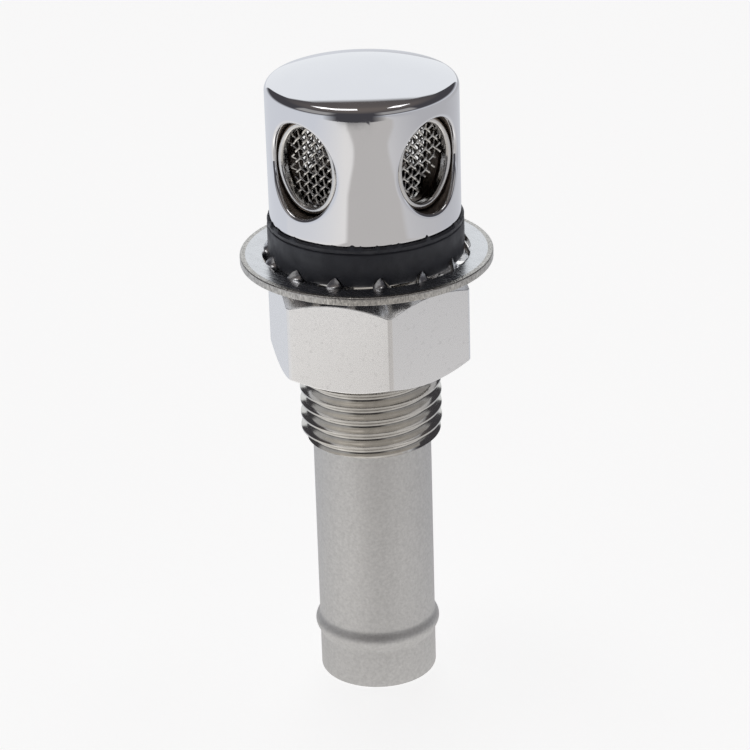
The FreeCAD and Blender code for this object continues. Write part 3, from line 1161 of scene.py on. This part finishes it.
class VENT_OT_tube(VentOperator, bpy.types.Operator):
    """Beaded hose tube"""

    bl_idname = "vent.tube"
    bl_label = "Hose tube"

    def execute(self, context):
        finish_piece(tube_mesh(), "beaded_tube", [tube_steel()],
                     "vent_body", "hose_tube")
        return {"FINISHED"}


CAMERA_AZIMUTH = math.radians(43)
CAMERA_ELEVATION = math.radians(24.4)
CAMERA_ROLL = math.radians(-1.73)
CAMERA_DISTANCE = 440.6 * MM
CAMERA_AIM_RIGHT = 0.69 * MM
CAMERA_AIM_HEIGHT = 48.3 * MM
CAMERA_LENS = 142.75
CAMERA_SENSOR = 36
FRONT = Vector((math.sin(CAMERA_AZIMUTH), -math.cos(CAMERA_AZIMUTH), 0))
RIGHT = Vector((math.cos(CAMERA_AZIMUTH), math.sin(CAMERA_AZIMUTH), 0))
DARK_TURN = math.radians(9)
DARK_WAY = FRONT * math.cos(DARK_TURN) - RIGHT * math.sin(DARK_TURN)

# Name, azimuth from the camera's side to the right, elevation, width in metres and radiance
LAMPS = (
    ("lamp left", -118, 67, 0.14, 1.8),
    ("lamp middle", -110, 79, 0.24, 1.8),
    ("lamp right", 112, 69, 0.15, 1.7),
)
LAMP_DISTANCE = 0.9
LAMP_LENGTH = 0.28
LAMP_AIM_HEIGHT = 80 * MM

# Limits of the surroundings, on the cosine of a direction with an axis
ROOM_EDGE = (0.8, 0.94)
ROOM_CEILING = (0.6, 0.98)
WALL_ACROSS = (0.3, 0.82, 0.1)
WALL_UP = (0.3, 0.62, 0.08)
TABLE_GLOW = (0.0, 0.2)
BACKDROP_EDGE = (-0.625, -0.597)
BACKDROP_CURVE = 1.2

# Lengths on the table, from the vent's axis
TABLE_RADIUS = 3.0
TABLE_END = (333 * MM, 338 * MM)
TABLE_END_CURVE = 60 * MM
TABLE_SIDES = (-60 * MM, 260 * MM)
# Reaches of the painted cool light, the painted shade strip and the painted glare on the table
COOL_BEHIND = (-60 * MM, 10 * MM)
COOL_LEFT = (-230 * MM, -90 * MM)
STRIP_MIDDLE = 37 * MM
STRIP_EDGE = (105 * MM, 121 * MM)
STRIP_START = (20 * MM, 120 * MM)
STRIP_WAIST = (28 * MM, 228 * MM, 254 * MM)
STRIP_FLARE = (36 * MM, 260 * MM, 272 * MM)
GLARE_NEAR = (50 * MM, 75 * MM, 25 * MM)
GLARE_TURNS = ((-62, -17), (40, 57))
GLARE_SOFT = 3
GLARE_GAIN = 0.7
TABLE_SEEN = "#BEBEBE"
TABLE_SEEN_GLOW = 0.8


def add_camera():
    """Camera at the photograph's height and side, leaning slightly as the photograph does."""
    back = FRONT * math.cos(CAMERA_ELEVATION) + Vector((0, 0, math.sin(CAMERA_ELEVATION)))
    up = back.cross(RIGHT)
    across = RIGHT * math.cos(CAMERA_ROLL) + up * math.sin(CAMERA_ROLL)
    upright = up * math.cos(CAMERA_ROLL) - RIGHT * math.sin(CAMERA_ROLL)
    data = bpy.data.cameras.new("view")
    data.lens = CAMERA_LENS
    data.sensor_width = CAMERA_SENSOR
    data.clip_start = 10 * MM
    camera = put_in_scene("view", data)
    place = RIGHT * CAMERA_AIM_RIGHT + Vector((0, 0, CAMERA_AIM_HEIGHT)) + back * CAMERA_DISTANCE
    turn = Matrix((across, upright, back)).transposed().to_4x4()
    camera.matrix_world = Matrix.Translation(place) @ turn
    bpy.context.scene.camera = camera


def add_lamp(name, azimuth, elevation, width, radiance):
    """Soft strip lamp overhead that runs front to back."""
    across = math.radians(azimuth)
    up = math.radians(elevation)
    level = FRONT * math.cos(across) + RIGHT * math.sin(across)
    way = level * math.cos(up) + Vector((0, 0, math.sin(up)))
    ahead = (FRONT - way * FRONT.dot(way)).normalized()
    data = bpy.data.lights.new(name, "AREA")
    data.shape = "RECTANGLE"
    data.size = width
    data.size_y = LAMP_LENGTH
    data.energy = radiance * math.pi * data.size * data.size_y
    turn = Matrix((ahead.cross(way), ahead, way)).transposed().to_4x4()
    place = Vector((0, 0, LAMP_AIM_HEIGHT)) + way * LAMP_DISTANCE
    put_in_scene(name, data).matrix_world = Matrix.Translation(place) @ turn


def add_world():
    """Surroundings that the polished head shows: a white backdrop behind, and a dark room in front.

    The room has a lit wall and a lighter ceiling, and turns to the table's colour low at its sides.
    """
    world = bpy.data.worlds.new("studio")
    bpy.context.scene.world = world
    tree = fresh_tree(world)
    shades = colours()
    way = add(tree, "TexCoord").outputs["Generated"]
    height = add(tree, "SeparateXYZ", None, {"Vector": way}).outputs["Z"]
    flat = add(tree, "VectorMath", {"operation": "MULTIPLY"}, {0: way, 1: (1, 1, 0)}).outputs["Vector"]
    flat = add(tree, "VectorMath", {"operation": "NORMALIZE"}, {0: flat}).outputs["Vector"]
    within = dot(tree, flat, DARK_WAY)
    wall = reckon(tree, "MULTIPLY", between(tree, within, *WALL_ACROSS), between(tree, height, *WALL_UP))
    lower = blend(tree, wall, shades.room, shades.room_wall)
    room = blend(tree, spread(tree, height, 0.0, 1.0, *ROOM_CEILING), lower, shades.ceiling)
    outside = spread(tree, within, 1.0, 0.0, *ROOM_EDGE)
    low = spread(tree, height, 1.0, 0.0, *TABLE_GLOW)
    ahead = blend(tree, reckon(tree, "MULTIPLY", outside, low), room, shades.table_left)
    aside = dot(tree, way, RIGHT)
    squared = reckon(tree, "MULTIPLY", aside, aside)
    facing = reckon(tree, "MULTIPLY_ADD", squared, BACKDROP_CURVE, dot(tree, way, FRONT))
    around = blend(tree, spread(tree, facing, 0.0, 1.0, *BACKDROP_EDGE), shades.backdrop, ahead)
    shown = blend(tree, add(tree, "LightPath").outputs["Is Camera Ray"], around, WHITE)
    light = add(tree, "Background", None, {"Color": shown, "Strength": 1.0})
    add(tree, "OutputWorld", None, {"Surface": light.outputs["Background"]})


def floor_material():
    """White table with a soft shadow; in reflections it has painted shade and glare, and ends towards the
    camera.
    """
    material = bpy.data.materials.new("white table")
    tree = fresh_tree(material)
    shades = colours()
    place = add(tree, "TexCoord").outputs["Object"]
    ahead = dot(tree, place, FRONT)
    aside = dot(tree, place, RIGHT)
    away = add(tree, "VectorMath", {"operation": "LENGTH"}, {0: place}).outputs["Value"]
    way = add(tree, "VectorMath", {"operation": "NORMALIZE"}, {0: place}).outputs["Vector"]
    within = dot(tree, way, DARK_WAY)
    past = spread(tree, reckon(tree, "MULTIPLY_ADD", within, TABLE_END_CURVE, away), 0.0, 1.0, *TABLE_END)
    beyond = reckon(tree, "MULTIPLY", past, spread(tree, within, 0.0, 1.0, *ROOM_EDGE))
    # Painted shade: a greyer strip of the table towards the camera, narrower at its waist
    off = reckon(tree, "ABSOLUTE", reckon(tree, "SUBTRACT", aside, STRIP_MIDDLE))
    off = reckon(tree, "ADD", off, spread(tree, away, 0.0, *STRIP_WAIST))
    off = reckon(tree, "SUBTRACT", off, spread(tree, away, 0.0, *STRIP_FLARE))
    strip = reckon(tree, "MULTIPLY", spread(tree, off, 1.0, 0.0, *STRIP_EDGE),
                   spread(tree, ahead, 0.0, 1.0, *STRIP_START))
    # Painted light and shade: cooler and greyer behind and to the left, darker to the right away from the
    # window
    cool = reckon(tree, "MAXIMUM", spread(tree, ahead, 1.0, 0.0, *COOL_BEHIND),
                  spread(tree, aside, 1.0, 0.0, *COOL_LEFT))
    left = blend(tree, cool, shades.table, shades.table_left)
    sides = blend(tree, spread(tree, aside, 0.0, 1.0, *TABLE_SIDES), left, shades.table_right_shade)
    table = blend(tree, strip, sides, shades.table_shade_strip)
    shown = blend(tree, beyond, table, shades.room)
    turn = reckon(tree, "ARCTAN2", aside, ahead)
    soft = math.radians(GLARE_SOFT)
    glares = [between(tree, turn, math.radians(low), math.radians(high), soft) for low, high in GLARE_TURNS]
    glare = reckon(tree, "MULTIPLY", reckon(tree, "ADD", *glares), between(tree, away, *GLARE_NEAR))
    gain = reckon(tree, "MULTIPLY_ADD", glare, GLARE_GAIN, 1.0)
    mirrored = add(tree, "Emission", None, {"Color": shown, "Strength": gain})
    lit = add(tree, "BsdfDiffuse", None, {"Color": srgb(TABLE_SEEN)})
    glow = add(tree, "Emission", None, {"Color": WHITE, "Strength": TABLE_SEEN_GLOW})
    seen_top = add(tree, "AddShader", None, {0: lit.outputs["BSDF"], 1: glow.outputs["Emission"]})
    path = add(tree, "LightPath")
    top = add(tree, "MixShader", None, {0: path.outputs["Is Camera Ray"], 1: mirrored.outputs["Emission"],
                                        2: seen_top.outputs["Shader"]})
    below = add(tree, "NewGeometry").outputs["Backfacing"]
    clear = add(tree, "BsdfTransparent")
    whole = add(tree, "MixShader", None, {0: below, 1: top.outputs["Shader"], 2: clear.outputs["BSDF"]})
    add(tree, "OutputMaterial", None, {"Surface": whole.outputs["Shader"]})
    return material


def add_floor():
    """Round table top that the vent stands on."""
    bm = bmesh.new()
    bmesh.ops.create_circle(bm, cap_ends=True, segments=96, radius=TABLE_RADIUS)
    mesh_object(bm, "table", [floor_material()])


class VENT_OT_stage(VentOperator, bpy.types.Operator):
    """Table, surroundings, lamps and camera"""

    bl_idname = "vent.stage"
    bl_label = "Stage"

    def execute(self, context):
        context.scene.view_settings.view_transform = "Standard"
        add_world()
        add_floor()
        add_camera()
        for lamp in LAMPS:
            add_lamp(*lamp)
        return {"FINISHED"}


PIECE_OPERATORS = (
    VENT_OT_head,
    VENT_OT_rings,
    VENT_OT_screens,
    VENT_OT_gasket,
    VENT_OT_washer,
    VENT_OT_nut,
    VENT_OT_shank,
    VENT_OT_tube,
    VENT_OT_stage,
)


class VENT_PT_panel(bpy.types.Panel):
    """Buttons for the vent's pieces in the sidebar"""

    bl_idname = "VENT_PT_panel"
    bl_label = "Fuel tank vent"
    bl_space_type = "VIEW_3D"
    bl_region_type = "UI"
    bl_category = "Vent"

    def draw(self, context):
        for kind in PIECE_OPERATORS:
            self.layout.operator(kind.bl_idname)


CLASSES = (VentSizes, VentColours, *PIECE_OPERATORS, VENT_PT_panel)


def register():
    for kind in CLASSES:
        bpy.utils.register_class(kind)
    bpy.types.Scene.vent_sizes = bpy.props.PointerProperty(type=VentSizes)
    bpy.types.Scene.vent_colours = bpy.props.PointerProperty(type=VentColours)


def unregister():
    del bpy.types.Scene.vent_colours
    del bpy.types.Scene.vent_sizes
    for kind in reversed(CLASSES):
        bpy.utils.unregister_class(kind)


def main():
    register()
    bpy.ops.vent.head()
    bpy.ops.vent.rings()
    bpy.ops.vent.screens()
    bpy.ops.vent.gasket()
    bpy.ops.vent.washer()
    bpy.ops.vent.nut()
    bpy.ops.vent.shank()
    bpy.ops.vent.tube()
    bpy.ops.vent.stage()


if __name__ == "__main__":
    main()
